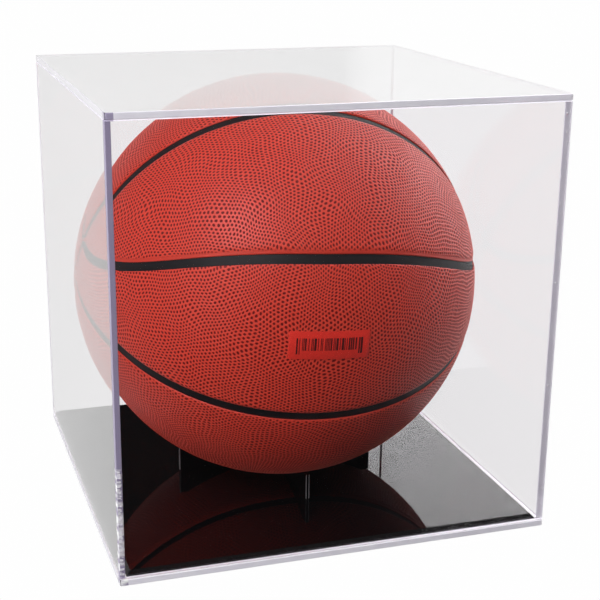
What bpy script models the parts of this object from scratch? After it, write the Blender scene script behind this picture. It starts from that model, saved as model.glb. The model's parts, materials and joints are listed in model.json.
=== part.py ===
# A clear acrylic cube for displaying a basketball, with the ball resting on its stand inside.
# Metres, +Z up. The origin is the middle of the base's underside, and the front faces -Y.
# The case is sized from the ball it holds: each room below is the air left beside the ball.
import math

import bmesh
import bpy
from mathutils import Euler, Vector

# Driving dimensions
ball_diameter = 0.2385      # a full-size ball, about 0.75 m around
side_room = 0.00125         # air between the ball and the left and right panels
front_room = 0.00125        # air between the ball and the front and back panels
top_room = 0.0006           # air between the ball and the top panel
floor_room = 0.0006         # air between the ball and the floor plate

wall = 0.0035               # the four upright panels
top_thickness = 0.0035
sheet_thickness = 0.0035    # the clear sheet under everything
plate_thickness = 0.0025    # the black floor plate
plate_bevel = 0.0023        # the 45 degree edge round the floor plate's top
plate_room = 0.0006         # air between the floor plate and the upright panels
corner_radius = 0.0015      # polished outer corners
edge_break = 0.0003         # small chamfer on every other sheet edge
glue_gap = 0.0003           # left between two pieces that touch or are glued

stand_reach = 0.063         # middle of the stand to the end of an arm
stand_height = 0.0155       # arm ends above the floor plate
stand_thickness = 0.0020
tongue_reach = 0.040        # half the length of the tongue that drops through the floor plate
slot_room = 0.0003          # air on each side of a tongue or a cross-lap

cover_thickness = 0.0015    # the pebbled outer panels of the ball
cover_backing = 0.0010      # room under the panels, which takes up their flat facets
carcass_wall = 0.0016
bladder_room = 0.0015       # room between carcass and bladder
bladder_wall = 0.0006
channel_width = 0.0056      # the black channels between the ball's panels
loop_half_width = math.radians(76.4) # each closed seam, along the straight seam
loop_half_height = math.radians(45.1)  # and across it
loop_roundness = 1.87       # 2 is an ellipse, more is squarer
ball_pitch = math.radians(-65.8)     # how the ball was set down: front loop turned up,
ball_roll = math.radians(3.0)        # slightly rolled,
ball_yaw = math.radians(-4.8)        # and turned to its right

valve_radius = 0.0030
valve_bulb_radius = 0.0070  # the part inside the bladder that keeps the valve in
valve_end_wall = 0.0015
valve_room = 0.0004
needle_radius = 0.0008
needle_depth = 0.0100

label_width = 0.0445
label_height = 0.0155
label_thickness = 0.0002
label_side = math.radians(1.2)       # where the label sits, from the middle of the front loop
label_drop = math.radians(67.8)      # and down round the ball from there

# Worked out from the driving dimensions
ball_radius = ball_diameter / 2
inside_x = ball_radius + side_room           # middle of the case to an inner wall face
inside_y = ball_radius + front_room
case_width = 2 * (inside_x + wall)
case_depth = 2 * (inside_y + wall)
plate_bottom = sheet_thickness + glue_gap
plate_top = plate_bottom + plate_thickness
ball_centre = plate_top + floor_room + ball_radius
ceiling = ball_centre + ball_radius + top_room
panel_bottom = plate_bottom
panel_top = ceiling - glue_gap
panel_height = panel_top - panel_bottom
carcass_radius = ball_radius - cover_thickness - cover_backing
bladder_radius = carcass_radius - carcass_wall - bladder_room
valve_hole = valve_radius + valve_room


def clear_scene():
    for thing in list(bpy.data.objects):
        bpy.data.objects.remove(thing, do_unlink=True)


def new_collection(name):
    collection = bpy.data.collections.new(name)
    bpy.context.scene.collection.children.link(collection)
    return collection


def new_material(name, colour, roughness, metallic=0.0, alpha=1.0):
    material = bpy.data.materials.new(name)
    material.use_nodes = True
    shader = material.node_tree.nodes["Principled BSDF"]
    shader.inputs["Base Color"].default_value = (*colour, 1.0)
    shader.inputs["Roughness"].default_value = roughness
    shader.inputs["Metallic"].default_value = metallic
    shader.inputs["Alpha"].default_value = alpha
    return material


def add_object(name, data, material, parent=None, location=(0, 0, 0), rotation=(0, 0, 0)):
    piece = bpy.data.objects.new(name, data)
    parts.objects.link(piece)
    piece.parent = parent
    piece.location = location
    piece.rotation_euler = rotation
    if material:
        data.materials.append(material)
    return piece


def add_mesh(name, form, material, parent=None, location=(0, 0, 0), rotation=(0, 0, 0)):
    mesh = bpy.data.meshes.new(name)
    form.to_mesh(mesh)
    form.free()
    return add_object(name, mesh, material, parent, location, rotation)


def box_form(size):
    form = bmesh.new()
    bmesh.ops.create_cube(form, size=1.0)
    bmesh.ops.scale(form, vec=size, verts=form.verts)
    return form


def sheet_piece(name, size, middle, material, parent=None, rounded=None):
    # A flat sheet. The edges that rounded() picks by their middle get the corner radius.
    form = box_form(size)
    if rounded:
        picked = [edge for edge in form.edges if rounded((edge.verts[0].co + edge.verts[1].co) / 2)]
        bmesh.ops.bevel(form, geom=picked, offset=corner_radius, segments=4, profile=0.5, affect="EDGES")
    piece = add_mesh(name, form, material, parent, middle)
    bevel = piece.modifiers.new("edge break", "BEVEL")
    bevel.width = edge_break
    bevel.segments = 1
    bevel.limit_method = "ANGLE"
    bevel.angle_limit = math.radians(60)
    return piece


def upright_edge(point):
    # Picks a sheet's four upright edges, whose middles lie at half its height
    return abs(point.z) < edge_break and abs(point.x) > wall and abs(point.y) > wall


def cut_box(piece, name, size, middle):
    cutter = bpy.data.objects.new(name, bpy.data.meshes.new(name))
    form = box_form(size)
    form.to_mesh(cutter.data)
    form.free()
    cutter.location = middle
    cutter.hide_render = True
    cutter.display_type = "WIRE"
    cutters.objects.link(cutter)
    boolean = piece.modifiers.new(name, "BOOLEAN")
    boolean.operation = "DIFFERENCE"
    boolean.solver = "EXACT"
    boolean.object = cutter


def turned_piece(name, profile, steps, material, parent, rotation):
    # The profile is a list of (radius, height) that runs down the outer side of the solid
    mesh = bpy.data.meshes.new(name)
    points = [(radius, 0.0, height) for radius, height in profile]
    mesh.from_pydata(points, [(i, i + 1) for i in range(len(points) - 1)], [])
    piece = add_object(name, mesh, material, parent, rotation=rotation)
    screw = piece.modifiers.new("turn", "SCREW")
    screw.axis = "Z"
    screw.steps = steps
    screw.render_steps = steps
    screw.use_merge_vertices = True
    screw.merge_threshold = 0.00001
    screw.use_smooth_shade = True
    return piece


def arc(radius, start, end, count):
    # Points on a circle about the origin, by their angle from the turning axis
    angles = [start + (end - start) * i / count for i in range(count + 1)]
    return [(radius * math.sin(angle), radius * math.cos(angle)) for angle in angles]


def hollow_ball(name, outer, thickness, steps, material, parent, rotation):
    # A thin ball with one round hole on its axis, for the valve
    inner = outer - thickness
    inside = arc(inner, math.pi, math.asin(valve_hole / inner), steps // 2)
    outside = arc(outer, math.asin(valve_hole / outer), math.pi, steps // 2)
    inside[0] = (0.0, -inner)
    outside[-1] = (0.0, -outer)
    return turned_piece(name, inside + outside, steps, material, parent, rotation)


def build_base():
    sheet_middle = (0, 0, sheet_thickness / 2)
    sheet_size = (case_width, case_depth, sheet_thickness)
    sheet_piece("clear_base_sheet", sheet_size, sheet_middle, clear, rounded=upright_edge)

    form = box_form((2 * (inside_x - plate_room), 2 * (inside_y - plate_room), plate_thickness))
    top_edges = [edge for edge in form.edges if all(vert.co.z > 0 for vert in edge.verts)]
    bevel_size = min(plate_bevel, 0.95 * plate_thickness)
    bmesh.ops.bevel(form, geom=top_edges, offset=bevel_size, segments=1, affect="EDGES")
    plate = add_mesh("floor_plate", form, black, location=(0, 0, plate_bottom + plate_thickness / 2))
    slot_length = 2 * (tongue_reach + slot_room)
    slot_width = stand_thickness + 2 * slot_room
    slot_middle = (0, 0, plate_bottom + plate_thickness / 2)
    cut_box(plate, "slot_x", (slot_length, slot_width, 3 * plate_thickness), slot_middle)
    cut_box(plate, "slot_y", (slot_width, slot_length, 3 * plate_thickness), slot_middle)


def stand_outline(lap_from_top):
    # One half of the arm's outline, from the middle outwards, then mirrored.
    # The top follows the ball and ends in a flat shoulder, and the tongue hangs at the bottom.
    cradle = ball_radius + glue_gap
    foot = plate_top + glue_gap
    tongue = sheet_thickness + glue_gap
    shoulder = plate_top + stand_height
    below_centre = ball_centre - shoulder
    meets = math.sqrt(max(cradle ** 2 - below_centre ** 2, 0.0))
    cradle_end = min(meets, stand_reach)

    def cradle_height(x):
        return ball_centre - math.sqrt(cradle ** 2 - x ** 2)

    lap_half = stand_thickness / 2 + slot_room
    lap_middle = (cradle_height(0) + tongue) / 2
    lap_edge = lap_middle - slot_room / 2 if lap_from_top else lap_middle + slot_room / 2
    steps = 16
    top = [(lap_half + (cradle_end - lap_half) * i / steps) for i in range(steps + 1)]
    half = [(x, cradle_height(x)) for x in top]
    if cradle_end < stand_reach:
        half.append((stand_reach, shoulder))
    half += [(stand_reach, foot), (tongue_reach, foot), (tongue_reach, tongue)]
    if lap_from_top:
        half = [(lap_half, lap_edge)] + half
    else:
        half += [(lap_half, tongue), (lap_half, lap_edge)]
    return half + [(-x, height) for x, height in reversed(half)]


def stand_plate(name, lap_from_top, turn):
    curve = bpy.data.curves.new(name, "CURVE")
    curve.dimensions = "2D"
    curve.fill_mode = "BOTH"
    curve.extrude = stand_thickness / 2
    outline = stand_outline(lap_from_top)
    spline = curve.splines.new("POLY")
    spline.points.add(len(outline) - 1)
    for point, (x, height) in zip(spline.points, outline):
        point.co = (x, height, 0.0, 1.0)
    spline.use_cyclic_u = True
    add_object(name, curve, black, rotation=(math.pi / 2, 0, turn))


def build_stand():
    stand_plate("stand_plate_across", True, 0.0)
    stand_plate("stand_plate_along", False, math.pi / 2)


def build_cover():
    lift = add_object("cover_lift_axis", None, None, location=(0, 0, panel_bottom))
    top_middle = (0, 0, ceiling - panel_bottom + top_thickness / 2)
    top_size = (case_width, case_depth, top_thickness)
    sheet_piece("top_panel", top_size, top_middle, clear, lift, upright_edge)

    for name, side in (("front_panel", -1), ("back_panel", 1)):
        middle = (0, side * (inside_y + wall / 2), panel_height / 2)

        def outer_corner(point, side=side):
            return abs(point.z) < edge_break and point.y * side > 0

        sheet_piece(name, (case_width, wall, panel_height), middle, clear, lift, outer_corner)
    for name, side in (("left_panel", -1), ("right_panel", 1)):
        middle = (side * (inside_x + wall / 2), 0, panel_height / 2)
        size = (wall, 2 * (inside_y - glue_gap), panel_height)
        sheet_piece(name, size, middle, clear, lift)


def direction(side, lift):
    # side runs round the straight seam from the middle of the front loop, lift is the angle off it
    return Vector((math.cos(lift) * math.sin(side), -math.cos(lift) * math.cos(side), math.sin(lift)))


def clear_of_straight_seam(way):
    # Squeezes one half of the ball away from the straight seam by half a channel
    edge = channel_width / 2 / ball_radius
    lift = edge + math.asin(max(-1.0, min(1.0, way.z))) * (1 - edge / (math.pi / 2))
    return direction(math.atan2(way.x, -way.y), lift)


def loop_point(turn, widen):
    # The closed seam as a squared ellipse, widened or narrowed by an angle
    power = 2 / loop_roundness
    across = math.copysign(abs(math.cos(turn)) ** power, math.cos(turn))
    up = abs(math.sin(turn)) ** power
    return (loop_half_width + widen) * across, (loop_half_height + widen) * up


def inner_way(u, v):
    # Inside the front loop, above the straight seam: v runs from its middle to its edge
    side, lift = loop_point(math.pi * u, -channel_width / 2 / ball_radius)
    return clear_of_straight_seam(direction(side * v, lift * v))


def outer_way(u, v):
    # Between the front loop and the seam that rings the ball from side to side
    edge = channel_width / 2 / ball_radius
    side, lift = loop_point(math.pi * u, edge)
    start = direction(side, lift)
    turn = math.atan2(start.z, start.x)
    end = Vector((math.cos(edge) * math.cos(turn), -math.sin(edge), math.cos(edge) * math.sin(turn)))
    return clear_of_straight_seam((start * (1 - v) + end * v).normalized())


def label_way(u, v):
    side = label_side + (u - 0.5) * label_width / ball_radius
    lift = (v - 0.5) * label_height / ball_radius
    way = direction(side, lift)
    way.rotate(Euler((label_drop, 0, 0)))
    return way


def ball_skin(name, way, counts, radius, thickness, outwards, material, parent, mirror=(1, 1, 1)):
    # A patch of the ball from a grid, given its thickness inwards or outwards
    form = bmesh.new()
    bmesh.ops.create_grid(form, x_segments=counts[0], y_segments=counts[1], size=0.5)
    for vert in form.verts:
        spot = way(vert.co.x + 0.5, vert.co.y + 0.5) * radius
        vert.co = Vector((spot.x * mirror[0], spot.y * mirror[1], spot.z * mirror[2]))
    bmesh.ops.remove_doubles(form, verts=form.verts, dist=0.000001)
    form.normal_update()
    if sum(face.normal.dot(face.calc_center_median()) for face in form.faces) < 0:
        bmesh.ops.reverse_faces(form, faces=form.faces)
    piece = add_mesh(name, form, material, parent)
    piece.data.shade_smooth()
    piece.data.set_sharp_from_angle(angle=math.radians(30))
    solidify = piece.modifiers.new("thickness", "SOLIDIFY")
    solidify.thickness = thickness
    solidify.offset = 1.0 if outwards else -1.0
    return piece


def build_ball():
    turn = add_object("ball_turn_axis", None, None, location=(0, 0, ball_centre))
    turn.rotation_euler = (ball_pitch, ball_roll, ball_yaw)
    to_back = (-math.pi / 2, 0, 0)
    hollow_ball("ball_carcass", carcass_radius, carcass_wall, 36, rubber, turn, to_back)
    hollow_ball("ball_bladder", bladder_radius, bladder_wall, 24, rubber, turn, to_back)

    valve_top = carcass_radius
    bulb_top = bladder_radius - bladder_wall - valve_room - valve_bulb_radius ** 2 / bladder_radius
    hole_bottom = valve_top - needle_depth
    bulb_bottom = hole_bottom - valve_end_wall
    profile = [
        (0.0, hole_bottom),
        (needle_radius, hole_bottom),
        (needle_radius, valve_top),
        (valve_radius, valve_top),
        (valve_radius, bulb_top),
        (valve_bulb_radius, bulb_top),
        (valve_bulb_radius, bulb_bottom),
        (0.0, bulb_bottom),
    ]
    turned_piece("ball_valve", profile, 16, rubber, turn, to_back)

    for end, flip in (("front", 1), ("back", -1)):
        for half, up in (("upper", 1), ("lower", -1)):
            mirror = (flip, flip, up)
            name = f"ball_panel_{end}_{half}"
            ball_skin(name, inner_way, (20, 7), ball_radius, cover_thickness, False, leather, turn, mirror)
            name = f"ball_band_{end}_{half}"
            ball_skin(name, outer_way, (24, 4), ball_radius, cover_thickness, False, leather, turn, mirror)
    ball_skin("ball_label", label_way, (8, 3), ball_radius + glue_gap, label_thickness, True, film, turn)


clear_scene()
parts = new_collection("basketball_display_case")
cutters = new_collection("cutters")
clear = new_material("clear_acrylic", (0.85, 0.85, 0.9), 0.03, alpha=0.25)
black = new_material("black_acrylic", (0.01, 0.01, 0.01), 0.08)
leather = new_material("pebbled_composite", (0.42, 0.07, 0.04), 0.55)
rubber = new_material("black_rubber", (0.015, 0.015, 0.018), 0.6)
film = new_material("label_film", (0.65, 0.06, 0.04), 0.35)
build_base()
build_stand()
build_cover()
build_ball()
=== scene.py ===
# A basketball in its clear acrylic display cube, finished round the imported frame.
import json
import math
import random

import bmesh
import bpy
import numpy as np
from mathutils import Euler, Matrix, Vector


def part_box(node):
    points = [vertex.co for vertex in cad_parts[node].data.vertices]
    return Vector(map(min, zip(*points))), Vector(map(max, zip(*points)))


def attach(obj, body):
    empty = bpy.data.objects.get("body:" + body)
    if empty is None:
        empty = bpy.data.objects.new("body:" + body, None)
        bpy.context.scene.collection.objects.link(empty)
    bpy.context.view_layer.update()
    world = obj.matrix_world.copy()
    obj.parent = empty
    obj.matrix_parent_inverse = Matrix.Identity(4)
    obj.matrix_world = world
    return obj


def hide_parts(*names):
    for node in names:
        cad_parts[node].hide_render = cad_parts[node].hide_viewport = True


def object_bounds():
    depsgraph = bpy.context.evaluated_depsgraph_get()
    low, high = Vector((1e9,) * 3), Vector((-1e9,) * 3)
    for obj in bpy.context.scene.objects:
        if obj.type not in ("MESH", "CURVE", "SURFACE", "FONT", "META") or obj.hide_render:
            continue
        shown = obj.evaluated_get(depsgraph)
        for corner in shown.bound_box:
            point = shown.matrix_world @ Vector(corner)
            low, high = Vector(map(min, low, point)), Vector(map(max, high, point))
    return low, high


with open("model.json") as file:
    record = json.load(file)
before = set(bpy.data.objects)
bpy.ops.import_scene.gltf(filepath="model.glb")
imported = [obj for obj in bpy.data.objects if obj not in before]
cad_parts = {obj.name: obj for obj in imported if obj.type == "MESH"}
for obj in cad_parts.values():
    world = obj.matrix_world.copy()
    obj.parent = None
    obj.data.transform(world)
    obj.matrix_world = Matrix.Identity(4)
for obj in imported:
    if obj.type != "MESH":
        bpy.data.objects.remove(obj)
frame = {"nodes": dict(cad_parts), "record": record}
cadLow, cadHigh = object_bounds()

scene = bpy.context.scene
joints = {joint["name"]: joint for joint in frame["record"]["behaviour"]["joints"]}
ballCentre = Vector(joints["ball_turn"]["pos_m"])

ball = {
    "pitch": math.radians(-65.8),   # how it was set down in the case, as in the CAD
    "roll": math.radians(3.0),
    "yaw": math.radians(-4.8),
    "channel": 0.0056,              # width of the black channels
    "loopHalfWidth": math.radians(76.4),
    "loopHalfHeight": math.radians(45.1),
    "loopRoundness": 1.87,
}
ballTurn = Matrix.Translation(ballCentre) @ Euler((ball["pitch"], ball["roll"], ball["yaw"])).to_matrix().to_4x4()


def farthest(nodeName):
    # Distance of a CAD node's farthest point from the ball's centre
    return max((vertex.co - ballCentre).length for vertex in frame["nodes"][nodeName].data.vertices)


ballRadius = farthest("ball_panel_front_upper")


def hexColour(code):
    # sRGB hex to linear RGBA
    shares = [int(code[i:i + 2], 16) / 255 for i in (1, 3, 5)]
    linear = [share / 12.92 if share <= 0.04045 else ((share + 0.055) / 1.055) ** 2.4 for share in shares]
    return (*linear, 1.0)


def addNode(tree, kind, links=None, **settings):
    # links maps an input's name or number to a value or to another node's output
    node = tree.nodes.new(kind)
    for name, value in settings.items():
        setattr(node, name, value)
    for name, value in (links or {}).items():
        if isinstance(value, bpy.types.NodeSocket):
            tree.links.new(value, node.inputs[name])
        else:
            node.inputs[name].default_value = value
    return node


def newMaterial(name):
    material = bpy.data.materials.new(name)
    material.use_nodes = True
    material.node_tree.nodes.clear()
    output = addNode(material.node_tree, "ShaderNodeOutputMaterial")
    return material, material.node_tree, output


def finishPiece(name, mesh, body, material=None, replaces=()):
    piece = bpy.data.objects.new(name, mesh)
    scene.collection.objects.link(piece)
    if material:
        mesh.materials.clear()
        mesh.materials.append(material)
    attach(piece, body)
    if replaces:
        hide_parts(*replaces)
    return piece


def plainMesh(piece, name):
    # The piece as its modifiers leave it, as a mesh of its own; the piece itself is removed
    mesh = bpy.data.meshes.new_from_object(piece.evaluated_get(bpy.context.evaluated_depsgraph_get()))
    mesh.name = name
    bpy.data.objects.remove(piece, do_unlink=True)
    return mesh


# ---- camera and light
camera = {
    "place": (-0.22889, -0.73123, 0.34483),
    "azimuth": math.radians(17.39),
    "downwards": math.radians(17.57),
    "roll": math.radians(0.335),
    "lens": 78.25,
    "shift": (0.0395, 0.0225),
}


def makeCamera():
    data = bpy.data.cameras.new("camera")
    data.lens = camera["lens"]
    data.sensor_width = 36
    data.shift_x, data.shift_y = camera["shift"]
    data.clip_start, data.clip_end = 0.01, 60
    look = bpy.data.objects.new("camera", data)
    look.location = camera["place"]
    turn = Matrix.Rotation(-camera["azimuth"], 3, "Z") @ Matrix.Rotation(math.pi / 2 - camera["downwards"], 3, "X")
    look.rotation_euler = (turn @ Matrix.Rotation(camera["roll"], 3, "Z")).to_euler()
    scene.collection.objects.link(look)
    scene.camera = look


studio = {
    "backColour": "#ffffff",
    "tableStrength": 0.82,          # the pale table and wall low behind the case
    "tableTop": (0.16, 0.30),       # how steeply upwards that ends
    "windowStrength": (0.92, 3.9),  # a bright wall to the right and behind, dimmer low down
    "windowHeight": (0.20, 0.36),   # between which it brightens
    "windowStart": (0.24, 0.37),    # how far round to the right it starts
    "overheadStrength": 0.35,
    "overheadHeight": (0.45, 0.9),
    "darkStrength": 0.02,           # the rest of the room, so that the front panel stays clear
    "keyPower": 13.5,
    "keyPlace": (-0.80, -0.86, 1.15),
    "keySize": (0.42, 0.42),
    "fillPower": 16,
    "fillPlace": (-1.15, -0.85, 0.10),
    "fillSize": (0.8, 0.8),
    "sidePower": 6,
    "sidePlace": (1.28, 0.42, 0.48),
    "sideSize": (0.7, 0.9),
    "floorColour": "#fbfbfb",
    "floorStrength": 1.03,
    "floorSize": 15,
    "floorGap": 0.0002,             # below the case
}


def addSoftbox(name, place, size, power, target):
    data = bpy.data.lights.new(name, "AREA")
    data.shape = "RECTANGLE"
    data.size, data.size_y = size
    data.energy = power
    lamp = bpy.data.objects.new(name, data)
    lamp.location = place
    lamp.rotation_euler = (Vector(target) - Vector(place)).to_track_quat("-Z", "Y").to_euler()
    # The clear sheets show no lamp, so that they stay clear from every side
    lamp.visible_transmission = False
    scene.collection.objects.link(lamp)
    return lamp


def ramp(tree, value, low, high, toLow, toHigh):
    return addNode(tree, "ShaderNodeMapRange", {
        "Value": value, "From Min": low, "From Max": high, "To Min": toLow, "To Max": toHigh},
        interpolation_type="SMOOTHSTEP").outputs[0]


def seenStraight(tree):
    # 1 for what is looked at straight or through clear sheets, 0 for what is mirrored or lights something
    path = addNode(tree, "ShaderNodeLightPath")
    bounces = addNode(tree, "ShaderNodeMath", {
        0: path.outputs["Glossy Depth"], 1: path.outputs["Diffuse Depth"]}, operation="ADD")
    return addNode(tree, "ShaderNodeMath", {0: bounces.outputs[0], 1: 0.5}, operation="LESS_THAN").outputs[0]


def makeWorld():
    # White to look at; in mirrored and scattered light it is a room with a pale table and a bright wall
    world = bpy.data.worlds.new("studio")
    scene.world = world
    world.use_nodes = True
    tree = world.node_tree
    tree.nodes.clear()
    way = addNode(tree, "ShaderNodeTexCoord").outputs["Generated"]
    parts = addNode(tree, "ShaderNodeSeparateXYZ", {0: way})
    right, back, up = parts.outputs[0], parts.outputs[1], parts.outputs[2]
    behind = ramp(tree, back, 0.0, 0.3, 0.0, studio["tableStrength"])
    low = ramp(tree, up, *studio["tableTop"], 1.0, 0.0)
    table = addNode(tree, "ShaderNodeMath", {0: behind, 1: low}, operation="MULTIPLY").outputs[0]
    side = ramp(tree, right, *studio["windowStart"], 0.0, 1.0)
    tall = ramp(tree, up, *studio["windowHeight"], *studio["windowStrength"])
    side = addNode(tree, "ShaderNodeMath", {0: side, 1: tall}, operation="MULTIPLY").outputs[0]
    notFront = ramp(tree, back, -0.45, 0.0, 0.0, 1.0)
    window = addNode(tree, "ShaderNodeMath", {0: side, 1: notFront}, operation="MULTIPLY").outputs[0]
    overhead = ramp(tree, up, *studio["overheadHeight"], studio["darkStrength"], studio["overheadStrength"])
    room = addNode(tree, "ShaderNodeMath", {0: table, 1: window}, operation="MAXIMUM").outputs[0]
    room = addNode(tree, "ShaderNodeMath", {0: room, 1: overhead}, operation="MAXIMUM").outputs[0]
    strength = addNode(tree, "ShaderNodeMix", {0: seenStraight(tree), 2: room, 3: 1.0}, data_type="FLOAT")
    light = addNode(tree, "ShaderNodeBackground", {
        "Color": hexColour(studio["backColour"]), "Strength": strength.outputs[0]})
    addNode(tree, "ShaderNodeOutputWorld", {"Surface": light.outputs[0]})


def makeStudio():
    makeWorld()
    addSoftbox("keyLight", studio["keyPlace"], studio["keySize"], studio["keyPower"], ballCentre)
    fill = addSoftbox("fillLight", studio["fillPlace"], studio["fillSize"], studio["fillPower"], ballCentre)
    fill.visible_glossy = False     # or the left panel would show it as a white square from behind
    addSoftbox("sideLight", studio["sidePlace"], studio["sideSize"], studio["sidePower"], ballCentre)

    form = bmesh.new()
    bmesh.ops.create_grid(form, x_segments=1, y_segments=1, size=studio["floorSize"])
    bmesh.ops.translate(form, vec=(0, 0, cadLow.z - studio["floorGap"]), verts=form.verts)
    mesh = bpy.data.meshes.new("studioFloor")
    form.to_mesh(mesh)
    form.free()
    floor = bpy.data.objects.new("studioFloor", mesh)
    floor.visible_glossy = floor.visible_diffuse = False
    scene.collection.objects.link(floor)
    material, tree, output = newMaterial("paleFloor")   # backlit backdrop sheet, evenly white
    paper = addNode(tree, "ShaderNodeEmission", {
        "Color": hexColour(studio["floorColour"]), "Strength": studio["floorStrength"]})
    unseen = addNode(tree, "ShaderNodeBsdfTransparent")
    ground = addNode(tree, "ShaderNodeMixShader", {
        0: seenStraight(tree), 1: unseen.outputs[0], 2: paper.outputs[0]})
    tree.links.new(ground.outputs[0], output.inputs["Surface"])
    mesh.materials.append(material)
    scene.view_settings.view_transform = "Standard"


makeCamera()
makeStudio()
print("camera and studio: done")

# ---- clear acrylic sheets
acrylic = {
    "faceTint": "#fbfafb",      # almost no colour through a face
    "paintedEdgeGlow": "#f1edf8",    # painted edge glow: a lavender grey, near white, for the light the sheet carries to its cut and polished edges
    "paintedEdgeStreak": "#faf8ff",     # lighter painted streaks in that edge glow
    "jointShadeAndGlint": "#a69db8",   # painted shade on the front left joint, with painted white glints of glue bubbles low down
    "jointWidth": 0.0045,
    "glueTop": 0.066,
    "glueLength": 0.0045,
    "glueGlintShare": (0.42, 0.56),  # between these values of the noise the glue goes from clear to a painted white glint
    "edgeRoughness": 0.22,
    "edgeClearness": 0.1,       # how much still passes through a cut edge
    "index": 1.49,
    "quietIndex": 1.15,
    "edgeBand": 0.00033,        # how far in from the rim the edge colour starts
    "streak": 0.009,            # length of a streak along an edge
    "scratch": 0.0009,          # spacing of the finest hairlines
    "polished": ("top_panel",), # sheets that mirror more at a low angle
    "quiet": ("right_panel",),  # and sheets that mirror less
}
sheets = {
    "clear_base_sheet": "Z", "top_panel": "Z", "front_panel": "Y",
    "back_panel": "Y", "left_panel": "X", "right_panel": "X",
}


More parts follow.
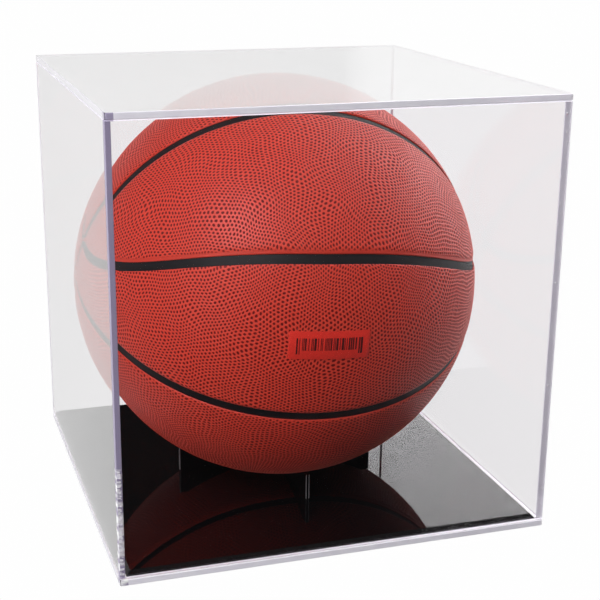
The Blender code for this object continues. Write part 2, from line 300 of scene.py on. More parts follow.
def clearAcrylic(nodeName, thinAxis):
    # Cast acrylic sheet, flame-polished: water-clear faces; the edges get a painted glow in the sheet's lavender tint
    material, tree, output = newMaterial("clearAcrylic_" + nodeName)
    low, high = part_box(nodeName)
    middle = (Vector(low) + Vector(high)) / 2
    half = (Vector(high) - Vector(low)) / 2
    place = addNode(tree, "ShaderNodeTexCoord").outputs["Object"]
    fromMiddle = addNode(tree, "ShaderNodeVectorMath", {0: place, 1: middle}, operation="SUBTRACT")
    size = addNode(tree, "ShaderNodeVectorMath", {0: fromMiddle.outputs[0]}, operation="ABSOLUTE")
    past = addNode(tree, "ShaderNodeVectorMath", {0: size.outputs[0], 1: half}, operation="SUBTRACT")
    parts = addNode(tree, "ShaderNodeSeparateXYZ", {0: past.outputs[0]})
    flat = [parts.outputs[axis] for axis in "XYZ" if axis != thinAxis]
    nearest = addNode(tree, "ShaderNodeMath", {0: flat[0], 1: flat[1]}, operation="MAXIMUM")
    edge = addNode(tree, "ShaderNodeMath", {0: nearest.outputs[0], 1: -acrylic["edgeBand"]}, operation="GREATER_THAN")

    # Painted edge glow: the cut edges are coloured lavender grey to near white, with lighter painted streaks, for the
    # light the sheet carries to them
    glowStreaks = addNode(tree, "ShaderNodeTexNoise", {
        "Vector": place, "Scale": 1 / acrylic["streak"], "Detail": 3.0, "Roughness": 0.6})
    glowStreakShare = addNode(tree, "ShaderNodeMapRange", {
        "Value": glowStreaks.outputs[0], "From Min": 0.45, "From Max": 0.85})
    paintedEdgeGlow = addNode(tree, "ShaderNodeMix", {
        0: glowStreakShare.outputs[0], 6: hexColour(acrylic["paintedEdgeGlow"]), 7: hexColour(acrylic["paintedEdgeStreak"])},
        data_type="RGBA")
    spot = addNode(tree, "ShaderNodeSeparateXYZ", {0: place})
    corner = addNode(tree, "ShaderNodeMath", {0: spot.outputs["X"], 1: spot.outputs["Y"]}, operation="MAXIMUM")
    joint = addNode(tree, "ShaderNodeMath", {
        0: corner.outputs[0], 1: cadLow[0] + acrylic["jointWidth"]}, operation="LESS_THAN")
    upright = addNode(tree, "ShaderNodeMapping", {"Vector": place, "Scale": (0.4, 0.4, 1.0)})
    glueNoise = addNode(tree, "ShaderNodeTexNoise", {
        "Vector": upright.outputs[0], "Scale": 1 / acrylic["glueLength"], "Detail": 2.0})
    glueHere = addNode(tree, "ShaderNodeMath", {0: spot.outputs["Z"], 1: acrylic["glueTop"]}, operation="LESS_THAN")
    glueGlintShare = addNode(tree, "ShaderNodeMapRange", {
        "Value": glueNoise.outputs[0], "From Min": acrylic["glueGlintShare"][0], "From Max": acrylic["glueGlintShare"][1],
        "To Max": glueHere.outputs[0]})
    # Painted shade on the front left joint, broken low down by painted white glints of the glue's bubbles
    jointShadeAndGlint = addNode(tree, "ShaderNodeMix", {
        0: glueGlintShare.outputs[0], 6: hexColour(acrylic["jointShadeAndGlint"]), 7: hexColour("#ffffff")}, data_type="RGBA")
    rim = addNode(tree, "ShaderNodeMix", {
        0: joint.outputs[0], 6: paintedEdgeGlow.outputs[2], 7: jointShadeAndGlint.outputs[2]}, data_type="RGBA")
    colour = addNode(tree, "ShaderNodeMix", {
        0: edge.outputs[0], 6: hexColour(acrylic["faceTint"]), 7: rim.outputs[2]}, data_type="RGBA")
    hairlines = addNode(tree, "ShaderNodeTexNoise", {
        "Vector": place, "Scale": 1 / acrylic["scratch"] / 20, "Detail": 6.0, "Distortion": 1.5})
    faceRough = addNode(tree, "ShaderNodeMapRange", {
        "Value": hairlines.outputs[0], "From Min": 0.4, "From Max": 0.9, "To Min": 0.0, "To Max": 0.035})
    rough = addNode(tree, "ShaderNodeMix", {
        0: edge.outputs[0], 2: faceRough.outputs[0], 3: acrylic["edgeRoughness"]}, data_type="FLOAT")
    clearness = addNode(tree, "ShaderNodeMapRange", {
        "Value": edge.outputs[0], "To Min": 1.0, "To Max": acrylic["edgeClearness"]})
    body = addNode(tree, "ShaderNodeBsdfPrincipled", {
        "Base Color": colour.outputs[2], "Roughness": rough.outputs[0],
        "IOR": acrylic["quietIndex"] if nodeName in acrylic["quiet"] else acrylic["index"],
        "Transmission Weight": clearness.outputs[0],
        "Coat Weight": 1.0 if nodeName in acrylic["polished"] else 0.0, "Coat Roughness": 0.0, "Coat IOR": 1.7})
    seeThrough = addNode(tree, "ShaderNodeBsdfTransparent", {"Color": hexColour("#f6f5f7")})
    path = addNode(tree, "ShaderNodeLightPath")
    lets = addNode(tree, "ShaderNodeMath", {
        0: path.outputs["Is Shadow Ray"], 1: path.outputs["Is Diffuse Ray"]}, operation="MAXIMUM")
    mixed = addNode(tree, "ShaderNodeMixShader", {0: lets.outputs[0], 1: body.outputs[0], 2: seeThrough.outputs[0]})
    tree.links.new(mixed.outputs[0], output.inputs["Surface"])
    return material


def giveMaterial(nodeName, material):
    node = frame["nodes"][nodeName]
    if node.material_slots:
        for slot in node.material_slots:
            slot.material = material
    else:
        node.data.materials.append(material)


for nodeName, thinAxis in sheets.items():
    giveMaterial(nodeName, clearAcrylic(nodeName, thinAxis))
print("clear sheets: done")

# ---- trapped air in the glue lines
glue = {
    "gap": 0.0003,
    "frontLeftCount": 110,
    "frontLeftHeight": 0.060,   # the worst stretch, up from the bottom
    "otherCount": 45,
    "bubble": 0.00075,
    "spread": (0.0009, 0.0, 0.0015),
    "flatness": (1.0, 0.3, 1.0),
    "margin": 0.002,            # how far the bubbles keep from the ends of a joint
    "seed": 7,
}


def trappedAir():
    # Air caught in solvent cement: small blisters, painted white and lavender grey for the glint they catch
    material, tree, output = newMaterial("trappedAir")
    fog = addNode(tree, "ShaderNodeTexNoise", {
        "Vector": addNode(tree, "ShaderNodeTexCoord").outputs["Object"], "Scale": 900.0})
    tone = addNode(tree, "ShaderNodeMix", {
        0: fog.outputs[0], 6: hexColour("#ffffff"), 7: hexColour("#d9d4e2")}, data_type="RGBA")
    air = addNode(tree, "ShaderNodeBsdfPrincipled", {
        "Base Color": tone.outputs[2], "Roughness": 0.25, "IOR": 1.49})
    tree.links.new(air.outputs[0], output.inputs["Surface"])
    return material


def bubbleTree(material):
    tree = bpy.data.node_groups.new("glueBubbles", "GeometryNodeTree")
    sockets = {}
    for label, kind in (
        ("Count", "NodeSocketInt"), ("Start", "NodeSocketVector"), ("End", "NodeSocketVector"),
        ("Spread", "NodeSocketVector"), ("Flatness", "NodeSocketVector"), ("Bubble", "NodeSocketFloat"),
        ("Seed", "NodeSocketInt"),
    ):
        sockets[label] = tree.interface.new_socket(name=label, in_out="INPUT", socket_type=kind).identifier
    tree.interface.new_socket(name="Geometry", in_out="OUTPUT", socket_type="NodeSocketGeometry")
    given = addNode(tree, "NodeGroupInput").outputs
    line = addNode(tree, "GeometryNodeMeshLine", {"Count": given["Count"]}, mode="END_POINTS")
    tree.links.new(given["Start"], line.inputs["Start Location"])
    tree.links.new(given["End"], line.inputs["Offset"])
    low = addNode(tree, "ShaderNodeVectorMath", {0: given["Spread"], 1: (-1, -1, -1)}, operation="MULTIPLY")
    drift = addNode(tree, "FunctionNodeRandomValue", data_type="FLOAT_VECTOR")
    tree.links.new(low.outputs[0], drift.inputs["Min"])
    tree.links.new(given["Spread"], drift.inputs["Max"])
    tree.links.new(given["Seed"], drift.inputs["Seed"])
    moved = addNode(tree, "GeometryNodeSetPosition", {"Geometry": line.outputs[0], "Offset": drift.outputs[0]})
    blister = addNode(tree, "GeometryNodeMeshIcoSphere", {"Radius": given["Bubble"], "Subdivisions": 2})
    grow = addNode(tree, "FunctionNodeRandomValue", data_type="FLOAT")
    grow.inputs[2].default_value, grow.inputs[3].default_value = 0.25, 1.0
    size = addNode(tree, "ShaderNodeVectorMath", {0: given["Flatness"]}, operation="SCALE")
    tree.links.new(grow.outputs[1], size.inputs["Scale"])
    many = addNode(tree, "GeometryNodeInstanceOnPoints", {
        "Points": moved.outputs[0], "Instance": blister.outputs[0], "Scale": size.outputs[0]})
    real = addNode(tree, "GeometryNodeRealizeInstances", {0: many.outputs[0]})
    painted = addNode(tree, "GeometryNodeSetMaterial", {"Geometry": real.outputs[0], "Material": material})
    addNode(tree, "NodeGroupOutput", {0: painted.outputs[0]})
    return tree, sockets


def makeGlueBubbles():
    material = trappedAir()
    tree, sockets = bubbleTree(material)
    frontLow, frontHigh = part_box("front_panel")
    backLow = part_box("back_panel")[0]
    leftLow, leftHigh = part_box("left_panel")
    rightLow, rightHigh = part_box("right_panel")
    lines = []
    for side, low, high in (("Left", leftLow, leftHigh), ("Right", rightLow, rightHigh)):
        x = (low[0] + high[0]) / 2
        for end, y in (("Front", frontHigh[1] + glue["gap"] / 2), ("Back", backLow[1] - glue["gap"] / 2)):
            busy = (side, end) == ("Left", "Front")
            top = frontLow[2] + (glue["frontLeftHeight"] if busy else frontHigh[2] - frontLow[2] - glue["margin"])
            count = glue["frontLeftCount"] if busy else glue["otherCount"]
            lines.append((side + end, Vector((x, y, frontLow[2] + glue["margin"])), Vector((x, y, top)), count))
    for label, start, end, count in lines:
        piece = bpy.data.objects.new("bubbles", bpy.data.meshes.new("bubbles"))
        scene.collection.objects.link(piece)
        grown = piece.modifiers.new("bubbles", "NODES")
        grown.node_group = tree
        values = {
            "Count": count, "Start": start, "End": end, "Spread": Vector(glue["spread"]),
            "Flatness": Vector(glue["flatness"]), "Bubble": glue["bubble"], "Seed": glue["seed"] + len(label),
        }
        for name, value in values.items():
            grown[sockets[name]] = value
        finishPiece("glueBubbles" + label, plainMesh(piece, "glueBubbles" + label), "cover", None)


makeGlueBubbles()
print("glue lines: done")

# ---- black acrylic floor plate and stand
black = {
    "colour": "#060506",
    "dustColour": "#2a2728",
    "dust": 0.0022,         # spacing of dust specks
    "polish": 0.012,
    "cornerHighlight": "#8d8a8c",   # painted highlight: the sawn corners of the stand are coloured grey for the light they catch
    "cornerHighlightWidth": 0.0003,
    "index": 1.33,
}


def blackAcrylic(nodeName, withCornerHighlight):
    # Cast black acrylic with a mirror face: deep black, a few specks of dust, faint wiping marks
    material, tree, output = newMaterial("blackAcrylic_" + nodeName)
    place = addNode(tree, "ShaderNodeTexCoord").outputs["Object"]
    specks = addNode(tree, "ShaderNodeTexVoronoi", {"Vector": place, "Scale": 1 / black["dust"]})
    dusty = addNode(tree, "ShaderNodeMapRange", {
        "Value": specks.outputs["Distance"], "From Min": 0.05, "From Max": 0.09, "To Min": 1.0, "To Max": 0.0})
    patches = addNode(tree, "ShaderNodeTexNoise", {"Vector": place, "Scale": 60.0, "Detail": 4.0})
    patchy = addNode(tree, "ShaderNodeMapRange", {
        "Value": patches.outputs[0], "From Min": 0.5, "From Max": 0.75, "To Min": 0.0, "To Max": 0.8})
    share = addNode(tree, "ShaderNodeMath", {0: dusty.outputs[0], 1: patchy.outputs[0]}, operation="MULTIPLY")
    colour = addNode(tree, "ShaderNodeMix", {
        0: share.outputs[0], 6: hexColour(black["colour"]), 7: hexColour(black["dustColour"])}, data_type="RGBA")
    wiping = addNode(tree, "ShaderNodeMapping", {"Vector": place, "Scale": (20.0, 90.0, 40.0), "Rotation": (0, 0, 0.5)})
    marks = addNode(tree, "ShaderNodeTexNoise", {"Vector": wiping.outputs[0], "Scale": 1.0, "Detail": 5.0})
    rough = addNode(tree, "ShaderNodeMapRange", {
        "Value": marks.outputs[0], "From Min": 0.3, "From Max": 0.8,
        "To Min": black["polish"] * 0.3, "To Max": black["polish"] * 2.0}).outputs[0]
    shown = colour.outputs[2]
    # Painted highlight: a grey band along the stand's sawn corners, for the light they catch
    if withCornerHighlight:
        low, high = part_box(nodeName)
        middle = (Vector(low) + Vector(high)) / 2
        half = (Vector(high) - Vector(low)) / 2
        fromMiddle = addNode(tree, "ShaderNodeVectorMath", {0: place, 1: middle}, operation="SUBTRACT")
        size = addNode(tree, "ShaderNodeVectorMath", {0: fromMiddle.outputs[0]}, operation="ABSOLUTE")
        past = addNode(tree, "ShaderNodeVectorMath", {0: size.outputs[0], 1: half}, operation="SUBTRACT")
        parts = addNode(tree, "ShaderNodeSeparateXYZ", {0: past.outputs[0]})
        inner = addNode(tree, "ShaderNodeMath", {0: parts.outputs[0], 1: parts.outputs[1]}, operation="MINIMUM")
        cornerHighlightBand = addNode(tree, "ShaderNodeMath", {0: inner.outputs[0], 1: -black["cornerHighlightWidth"]}, operation="GREATER_THAN")
        shown = addNode(tree, "ShaderNodeMix", {
            0: cornerHighlightBand.outputs[0], 6: shown, 7: hexColour(black["cornerHighlight"])}, data_type="RGBA").outputs[2]
    face = addNode(tree, "ShaderNodeBsdfPrincipled", {"Base Color": shown, "Roughness": rough, "IOR": black["index"]})
    tree.links.new(face.outputs[0], output.inputs["Surface"])
    return material


for nodeName, withCornerHighlight in (("floor_plate", False), ("stand_plate_across", True), ("stand_plate_along", True)):
    giveMaterial(nodeName, blackAcrylic(nodeName, withCornerHighlight))
print("floor plate and stand: done")

# ---- the ball's pebbled cover
cover = {
    "thickness": 0.0015,
    "spacing": 0.00225,     # from one pit of the grain to the next
    "slowBend": 0.014,      # how far the rows of pits wander, slowly
    "fineBend": 0.0012,     # and from pit to pit
    "pitRange": (-0.8, 1.4),    # of the summed waves: net below the first value, full depth above the second
    "pitDepth": 0.00018,
    "edgeDrop": 0.0006,     # how far a panel rolls down into its channel
    "edgeRoll": 0.0025,     # and over what width
    "ridge": "#da4231",     # lit composite between the pits
    # the same composite with painted shade in the pits
    "pitShade": "#6b0804",
    "worn": "#d65543",
}
panelMeshes = {"inner": (520, 93), "band": (420, 112)}


def grainHeight(tree, place, spacing):
    # Rows of round pits in a triangular grid, bent by slow noise as pressed grain is: 0 in a pit, 1 on the net
    slow = addNode(tree, "ShaderNodeTexNoise", {"Vector": place, "Scale": 30.0, "Detail": 1.0})
    fine = addNode(tree, "ShaderNodeTexNoise", {"Vector": place, "Scale": 170.0, "Detail": 1.0})
    bent = place
    for noise, reach in ((slow, cover["slowBend"]), (fine, cover["fineBend"])):
        centred = addNode(tree, "ShaderNodeVectorMath", {
            0: noise.outputs["Color"], 1: (0.5, 0.5, 0.5)}, operation="SUBTRACT")
        pushed = addNode(tree, "ShaderNodeVectorMath", {0: centred.outputs[0], "Scale": reach}, operation="SCALE")
        bent = addNode(tree, "ShaderNodeVectorMath", {0: bent, 1: pushed.outputs[0]}, operation="ADD").outputs[0]
    wave = 4 * math.pi / (math.sqrt(3) * spacing)
    total = None
    for turn in (0, math.pi / 3, 2 * math.pi / 3):
        along = (wave * math.cos(turn), wave * math.sin(turn), 0.0)
        phase = addNode(tree, "ShaderNodeVectorMath", {0: bent, 1: along}, operation="DOT_PRODUCT")
        ripple = addNode(tree, "ShaderNodeMath", {0: phase.outputs["Value"]}, operation="COSINE").outputs[0]
        if total is None:
            total = ripple
        else:
            total = addNode(tree, "ShaderNodeMath", {0: total, 1: ripple}, operation="ADD").outputs[0]
    return addNode(tree, "ShaderNodeMapRange", {
        "Value": total, "From Min": cover["pitRange"][0], "From Max": cover["pitRange"][1],
        "To Min": 1.0, "To Max": 0.0},
        interpolation_type="SMOOTHSTEP").outputs[0]


def pebbledComposite():
    # Pressed composite leather: a satin red-orange net round pits darkened with painted shade, paler where hands have
    # worn it
    material, tree, output = newMaterial("pebbledComposite")
    grain = addNode(tree, "ShaderNodeAttribute", attribute_name="grain").outputs["Vector"]
    edge = addNode(tree, "ShaderNodeAttribute", attribute_name="inset").outputs["Fac"]
    place = addNode(tree, "ShaderNodeTexCoord").outputs["Object"]
    height = grainHeight(tree, grain, cover["spacing"])
    shown = addNode(tree, "ShaderNodeMix", {0: edge, 2: 0.75, 3: height}, data_type="FLOAT").outputs[0]
    # Painted shade: the pits are coloured much darker than the net between them
    colour = addNode(tree, "ShaderNodeMix", {
        0: shown, 6: hexColour(cover["pitShade"]), 7: hexColour(cover["ridge"])}, data_type="RGBA")
    wear = addNode(tree, "ShaderNodeTexNoise", {"Vector": place, "Scale": 22.0, "Detail": 5.0, "Roughness": 0.6})
    worn = addNode(tree, "ShaderNodeMapRange", {
        "Value": wear.outputs[0], "From Min": 0.45, "From Max": 0.8, "To Min": 0.0, "To Max": 0.25})
    onRidges = addNode(tree, "ShaderNodeMath", {0: worn.outputs[0], 1: shown}, operation="MULTIPLY")
    toned = addNode(tree, "ShaderNodeMix", {
        0: onRidges.outputs[0], 6: colour.outputs[2], 7: hexColour(cover["worn"])}, data_type="RGBA")
    rough = addNode(tree, "ShaderNodeMapRange", {"Value": shown, "To Min": 0.62, "To Max": 0.44})
    speckle = addNode(tree, "ShaderNodeTexNoise", {"Vector": place, "Scale": 2400.0, "Detail": 2.0})
    speckled = addNode(tree, "ShaderNodeMath", {0: speckle.outputs[0], 1: 0.05}, operation="MULTIPLY")
    surface = addNode(tree, "ShaderNodeMath", {0: shown, 1: speckled.outputs[0]}, operation="ADD")
    bump = addNode(tree, "ShaderNodeBump", {
        "Height": surface.outputs[0], "Strength": 0.8, "Distance": cover["pitDepth"]})
    skin = addNode(tree, "ShaderNodeBsdfPrincipled", {
        "Base Color": toned.outputs[2], "Roughness": rough.outputs[0], "IOR": 1.5,
        "Specular IOR Level": 0.4, "Sheen Weight": 0.06, "Sheen Roughness": 0.4, "Sheen Tint": hexColour("#ffd9cf"),
        "Normal": bump.outputs[0]})
    tree.links.new(skin.outputs[0], output.inputs["Surface"])
    return material


def grainTree(material):
    tree = bpy.data.node_groups.new("pressedGrain", "GeometryNodeTree")
    tree.interface.new_socket(name="Geometry", in_out="INPUT", socket_type="NodeSocketGeometry")
    depth = tree.interface.new_socket(name="Pit Depth", in_out="INPUT", socket_type="NodeSocketFloat").identifier
    centre = tree.interface.new_socket(name="Ball Centre", in_out="INPUT", socket_type="NodeSocketVector").identifier
    tree.interface.new_socket(name="Geometry", in_out="OUTPUT", socket_type="NodeSocketGeometry")
    given = addNode(tree, "NodeGroupInput").outputs
    grain = addNode(tree, "GeometryNodeInputNamedAttribute", {"Name": "grain"}, data_type="FLOAT_VECTOR")
    edge = addNode(tree, "GeometryNodeInputNamedAttribute", {"Name": "inset"}, data_type="FLOAT")
    height = grainHeight(tree, grain.outputs[0], cover["spacing"])
    sunk = addNode(tree, "ShaderNodeMath", {0: height, 1: 1.0}, operation="SUBTRACT")
    masked = addNode(tree, "ShaderNodeMath", {0: sunk.outputs[0], 1: edge.outputs[0]}, operation="MULTIPLY")
    deep = addNode(tree, "ShaderNodeMath", {0: masked.outputs[0], 1: given["Pit Depth"]}, operation="MULTIPLY")
    here = addNode(tree, "GeometryNodeInputPosition")
    outwards = addNode(tree, "ShaderNodeVectorMath", {
        0: here.outputs[0], 1: given["Ball Centre"]}, operation="SUBTRACT")
    unit = addNode(tree, "ShaderNodeVectorMath", {0: outwards.outputs[0]}, operation="NORMALIZE")
    push = addNode(tree, "ShaderNodeVectorMath", {0: unit.outputs[0], "Scale": deep.outputs[0]}, operation="SCALE")
    moved = addNode(tree, "GeometryNodeSetPosition", {"Geometry": given["Geometry"], "Offset": push.outputs[0]})
    real = addNode(tree, "GeometryNodeRealizeInstances", {0: moved.outputs[0]})
    painted = addNode(tree, "GeometryNodeSetMaterial", {"Geometry": real.outputs[0], "Material": material})
    addNode(tree, "NodeGroupOutput", {0: painted.outputs[0]})
    return tree, depth, centre


def direction(side, lift):
    # Unit vectors on the ball, from angles along and off the straight seam, as in the CAD
    return np.stack([np.cos(lift) * np.sin(side), -np.cos(lift) * np.cos(side), np.sin(lift)], axis=-1)


def anglesOf(way):
    return np.arctan2(way[..., 0], -way[..., 1]), np.arcsin(np.clip(way[..., 2], -1, 1))


halfChannel = ball["channel"] / 2 / ballRadius


def loopEdge(share, widen):
    # Points of the closed seam's upper half, from its right end to its left
    power = 2 / ball["loopRoundness"]
    turn = math.pi * share
    across = np.sign(np.cos(turn)) * np.abs(np.cos(turn)) ** power
    up = np.abs(np.sin(turn)) ** power
    return (ball["loopHalfWidth"] + widen) * across, (ball["loopHalfHeight"] + widen) * up


def squeeze(way):
    side, lift = anglesOf(way)
    return direction(side, halfChannel + lift * (1 - halfChannel / (math.pi / 2)))


def innerWays(counts):
    # Columns across the half of the loop above the straight seam
    share = np.linspace(0, 1, counts[0] + 1)[:, None]
    rise = np.linspace(0, 1, counts[1] + 1)[None, :]
    side, lift = loopEdge(share, -halfChannel)
    return squeeze(direction(side + 0 * rise, lift * rise))


def bandWays(counts):
    # From the loop out to the seam that rings the ball
    share = np.linspace(0, 1, counts[0] + 1)[:, None]
    out = np.linspace(0, 1, counts[1] + 1)[None, :, None]
    side, lift = loopEdge(share, halfChannel)
    start = direction(side, lift)
    turn = np.arctan2(start[..., 2], start[..., 0])
    end = np.stack([
        np.cos(halfChannel) * np.cos(turn), -np.sin(halfChannel) + 0 * turn,
        np.cos(halfChannel) * np.sin(turn)], axis=-1)
    way = start * (1 - out) + end * out
    return squeeze(way / np.linalg.norm(way, axis=-1, keepdims=True))


def seamDistance(way):
    # Distance along the surface from a panel's own edge, for the roll into the channel
    side, lift = anglesOf(way)
    power = ball["loopRoundness"]
    reach = (np.abs(side / ball["loopHalfWidth"]) ** power + np.abs(lift / ball["loopHalfHeight"]) ** power)
    reach = np.maximum(reach, 1e-6) ** (1 / power)
    toLoop = np.abs(1 - 1 / reach) * np.hypot(side * np.cos(lift), lift)
    toStraight = np.abs(lift)
    toRing = np.abs(np.arcsin(np.clip(way[..., 1], -1, 1)))
    nearest = np.minimum(np.minimum(toLoop, toStraight), toRing)
    return np.maximum(nearest * ballRadius - ball["channel"] / 2, 0)


def grainPlace(way, kind):
    # Flat coordinates in metres for the grain, with little stretch over one panel
    if kind == "inner":
        side, lift = anglesOf(way)
        return np.stack([side * math.cos(math.radians(24)), lift, 0 * lift], axis=-1) * ballRadius
    turn = np.arctan2(way[..., 2], way[..., 0])
    away = np.arccos(np.clip(-way[..., 1], -1, 1))
    return np.stack([turn * math.sin(math.radians(70)), away, 0 * away], axis=-1) * ballRadius


def panelMesh(name, kind, flip, up):
    counts = panelMeshes[kind]
    way = innerWays(counts) if kind == "inner" else bandWays(counts)
    distance = seamDistance(way)
    roll = np.clip(1 - distance / cover["edgeRoll"], 0, 1) ** 2
    radius = ballRadius - cover["edgeDrop"] * roll
    points = way * radius[..., None] * np.array([flip, flip, up])
    grain = grainPlace(way, kind) + np.array([0.3 * flip, 0.2 * up, 0.0])
    inset = np.clip((distance - 0.0001) / 0.0008, 0, 1)
    columns, rows = way.shape[0], way.shape[1]
    index = np.arange(columns * rows).reshape(columns, rows)
    quads = np.stack([index[:-1, :-1], index[1:, :-1], index[1:, 1:], index[:-1, 1:]], axis=-1).reshape(-1, 4)
    mesh = bpy.data.meshes.new(name)
    mesh.from_pydata(points.reshape(-1, 3).tolist(), [], quads.tolist())
    grainData = mesh.attributes.new("grain", "FLOAT_VECTOR", "POINT")
    grainData.data.foreach_set("vector", grain.reshape(-1).astype(np.float32))
    insetData = mesh.attributes.new("inset", "FLOAT", "POINT")
    insetData.data.foreach_set("value", inset.reshape(-1).astype(np.float32))
    form = bmesh.new()
    form.from_mesh(mesh)
    bmesh.ops.remove_doubles(form, verts=form.verts, dist=0.00002)
    form.normal_update()
    if sum(face.normal.dot(face.calc_center_median()) for face in list(form.faces)[::97]) < 0:
        bmesh.ops.reverse_faces(form, faces=form.faces)
    bmesh.ops.transform(form, matrix=ballTurn, verts=form.verts)
    form.to_mesh(mesh)
    form.free()
    mesh.shade_smooth()
    return mesh


def makeCover():
    material = pebbledComposite()
    tree, depthInput, centreInput = grainTree(material)
    for kind, label, node in (("inner", "ballPanel", "ball_panel"), ("band", "ballBand", "ball_band")):
        for end, flip in (("Front", 1), ("Back", -1)):
            for half, up in (("Upper", 1), ("Lower", -1)):
                name = label + end + half
                piece = bpy.data.objects.new(name, panelMesh(name, kind, flip, up))
                scene.collection.objects.link(piece)
                pressed = piece.modifiers.new("grain", "NODES")
                pressed.node_group = tree
                pressed[depthInput] = cover["pitDepth"]
                pressed[centreInput] = ballCentre
                thick = piece.modifiers.new("thickness", "SOLIDIFY")
                thick.thickness = cover["thickness"]
                thick.offset = -1
                mesh = plainMesh(piece, name)
                nodeName = f"{node}_{end.lower()}_{half.lower()}"
                finishPiece(name, mesh, "ball", None, [nodeName])


makeCover()
print("ball cover: done")

# ---- channel rubber, valve and bladder
rubber = {
    "channelDepth": 0.0011,     # below the ball's surface
    "thickness": 0.0020,
    "steps": 160,
    "valveRadius": 0.0030,
    "valveHole": 0.0034,
    "needle": 0.0008,
    "valveDepth": 0.0140,
    "valveLip": 0.0005,
    "valveRise": 0.0004,        # above the floor of the channels
    "needleDepth": 0.010,
}


def blackRubber(name, colour, roughness):
    # Moulded black rubber: dull, faintly stippled, greyer where it has bloomed
    material, tree, output = newMaterial(name)
    place = addNode(tree, "ShaderNodeTexCoord").outputs["Object"]
    stipple = addNode(tree, "ShaderNodeTexNoise", {"Vector": place, "Scale": 1400.0, "Detail": 3.0})
    bloom = addNode(tree, "ShaderNodeTexNoise", {"Vector": place, "Scale": 45.0, "Detail": 4.0})
    tone = addNode(tree, "ShaderNodeMix", {
        0: bloom.outputs[0], 6: hexColour(colour), 7: hexColour("#0f0e11")}, data_type="RGBA")
    bump = addNode(tree, "ShaderNodeBump", {"Height": stipple.outputs[0], "Strength": 0.35, "Distance": 0.0001})
    skin = addNode(tree, "ShaderNodeBsdfPrincipled", {
        "Base Color": tone.outputs[2], "Roughness": roughness, "IOR": 1.52, "Specular IOR Level": 0.3,
        "Normal": bump.outputs[0]})
    tree.links.new(skin.outputs[0], output.inputs["Surface"])
    return material


def turnedMesh(name, profile, steps):
    # The profile lists (radius, height) down the outer side; it is turned about +Z and laid towards the back
    mesh = bpy.data.meshes.new(name)
    points = [(radius, 0.0, height) for radius, height in profile]
    mesh.from_pydata(points, [(i, i + 1) for i in range(len(points) - 1)], [])
    piece = bpy.data.objects.new(name, mesh)
    scene.collection.objects.link(piece)
    screw = piece.modifiers.new("turn", "SCREW")
    screw.axis = "Z"
    screw.steps = screw.render_steps = steps
    screw.use_merge_vertices = True
    screw.merge_threshold = 0.00001
    mesh = plainMesh(piece, name)
    mesh.transform(ballTurn @ Matrix.Rotation(-math.pi / 2, 4, "X"))
    mesh.shade_smooth()
    mesh.set_sharp_from_angle(angle=math.radians(40))
    return mesh


def arcPoints(radius, start, end, count):
    angles = [start + (end - start) * i / count for i in range(count + 1)]
    return [(radius * math.sin(angle), radius * math.cos(angle)) for angle in angles]


def makeRubber():
    material = blackRubber("channelRubber", "#0d0c0f", 0.55)
    outer = ballRadius - rubber["channelDepth"]
    inner = outer - rubber["thickness"]
    count = rubber["steps"] // 2
    profile = arcPoints(inner, math.pi, math.asin(rubber["valveHole"] / inner), count)
    profile += arcPoints(outer, math.asin(rubber["valveHole"] / outer), math.pi, count)
    profile[0], profile[-1] = (0.0, -inner), (0.0, -outer)
    mesh = turnedMesh("channelRubber", profile, rubber["steps"])
    finishPiece("channelRubber", mesh, "ball", material, ["ball_carcass"])

    top = outer + rubber["valveRise"]
    lip = rubber["valveLip"]
    hole = top - rubber["needleDepth"]
    profile = [(0.0, hole), (rubber["needle"], hole), (rubber["needle"], top - lip)]
    profile += [(rubber["needle"] + lip, top)]
    profile += [(rubber["valveRadius"] - lip, top), (rubber["valveRadius"], top - lip)]
    profile += [(rubber["valveRadius"], top - rubber["valveDepth"]), (0.0, top - rubber["valveDepth"])]
    mesh = turnedMesh("ballValve", profile, 48)
    finishPiece("ballValve", mesh, "ball", blackRubber("valveRubber", "#141317", 0.4), ["ball_valve"])
    giveMaterial("ball_bladder", blackRubber("bladderRubber", "#101012", 0.6))


makeRubber()
print("channels and valve: done")

# ---- the small bar label
label = {
    "side": math.radians(1.2),
    "drop": math.radians(67.8),
    "width": 0.0445,
    "height": 0.0155,
    "lift": 0.0002,         # above the ball's surface
    "film": 0.0002,
    "filmColour": "#f03a2e",
    "bars": 30,
    "barHeight": 0.0068,
    "guardHeight": 0.0090,
    "barTop": 0.0040,       # above the label's middle
    "barShare": 0.82,       # of the label's width
    "seed": 5,
}


def labelPatch(form, left, right, low, high, radius, steps):
    # A curved patch between distances in metres from the label's middle
    rows = []
    for j in range(3):
        lift = (low + (high - low) * j / 2) / ballRadius
        row = []
        for i in range(steps + 1):
            side = label["side"] + (left + (right - left) * i / steps) / ballRadius
            spot = Vector(direction(np.array(side), np.array(lift)) * radius)
            row.append(form.verts.new(ballTurn @ Matrix.Rotation(label["drop"], 4, "X") @ spot))
        rows.append(row)
    for j in range(2):
        for i in range(steps):
            form.faces.new((rows[j][i], rows[j][i + 1], rows[j + 1][i + 1], rows[j + 1][i]))


def labelMesh(name, patches, radius, thickness, bevel):
    form = bmesh.new()
    for left, right, low, high, steps in patches:
        labelPatch(form, left, right, low, high, radius, steps)
    mesh = bpy.data.meshes.new(name)
    form.to_mesh(mesh)
    form.free()
    piece = bpy.data.objects.new(name, mesh)
    scene.collection.objects.link(piece)
    thick = piece.modifiers.new("thickness", "SOLIDIFY")
    thick.thickness = thickness
    thick.offset = 1
    if bevel:
        soft = piece.modifiers.new("soft edge", "BEVEL")
        soft.width = bevel
        soft.segments = 2
    mesh = plainMesh(piece, name)
    mesh.shade_smooth()
    mesh.set_sharp_from_angle(angle=math.radians(35))
    return mesh


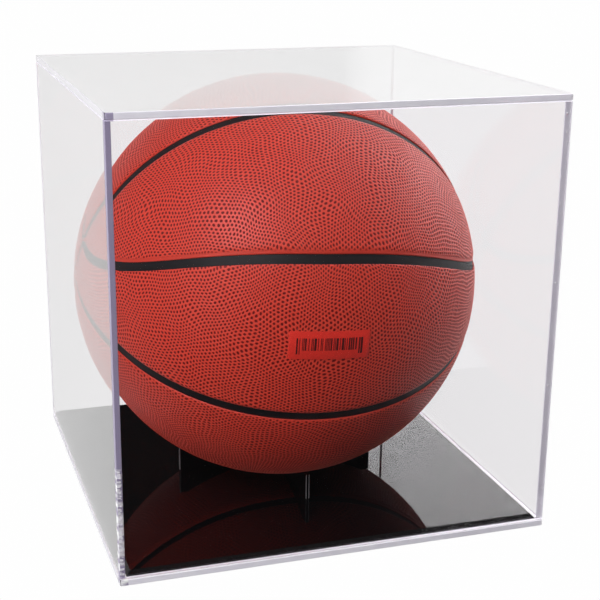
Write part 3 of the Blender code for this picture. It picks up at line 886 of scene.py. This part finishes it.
def labelFilm():
    # Printed vinyl film pressed on to the grain, faintly mottled
    material, tree, output = newMaterial("labelFilm")
    place = addNode(tree, "ShaderNodeTexCoord").outputs["Object"]
    mottle = addNode(tree, "ShaderNodeTexNoise", {"Vector": place, "Scale": 700.0, "Detail": 3.0})
    tone = addNode(tree, "ShaderNodeMix", {
        0: mottle.outputs[0], 6: hexColour(label["filmColour"]), 7: hexColour("#cc3026")}, data_type="RGBA")
    bump = addNode(tree, "ShaderNodeBump", {"Height": mottle.outputs[0], "Strength": 0.25, "Distance": 0.0001})
    film = addNode(tree, "ShaderNodeBsdfPrincipled", {
        "Base Color": tone.outputs[2], "Roughness": 0.38, "IOR": 1.5, "Normal": bump.outputs[0]})
    tree.links.new(film.outputs[0], output.inputs["Surface"])
    return material


def printInk():
    # Black print, thin enough for the red film to warm it
    material, tree, output = newMaterial("printInk")
    place = addNode(tree, "ShaderNodeTexCoord").outputs["Object"]
    thin = addNode(tree, "ShaderNodeTexNoise", {"Vector": place, "Scale": 500.0, "Detail": 2.0})
    tone = addNode(tree, "ShaderNodeMix", {
        0: thin.outputs[0], 6: hexColour("#1d0506"), 7: hexColour("#4a0c0e")}, data_type="RGBA")
    ink = addNode(tree, "ShaderNodeBsdfPrincipled", {
        "Base Color": tone.outputs[2], "Roughness": 0.5, "IOR": 1.5})
    tree.links.new(ink.outputs[0], output.inputs["Surface"])
    return material


def makeLabel():
    half = label["width"] / 2
    tall = label["height"] / 2
    radius = ballRadius + label["lift"]
    mesh = labelMesh("ballLabel", [(-half, half, -tall, tall, 24)], radius, label["film"], 0.00006)
    finishPiece("ballLabel", mesh, "ball", labelFilm(), ["ball_label"])

    draw = random.Random(label["seed"])
    room = label["width"] * label["barShare"]
    widths = [draw.choice((1, 1, 2, 3)) for _ in range(2 * label["bars"] - 1)]
    unit = room / sum(widths)
    patches = []
    start = -room / 2
    top = label["barTop"]
    for i, width in enumerate(widths):
        end = start + width * unit
        if i % 2 == 0:
            guard = i < 3 or i > len(widths) - 4
            tallness = label["guardHeight"] if guard else label["barHeight"]
            patches.append((start, end, top - tallness, top, 1))
        start = end
    mesh = labelMesh("ballLabelBars", patches, radius + label["film"], 0.00003, 0)
    finishPiece("ballLabelBars", mesh, "ball", printInk())


makeLabel()
print("label: done")
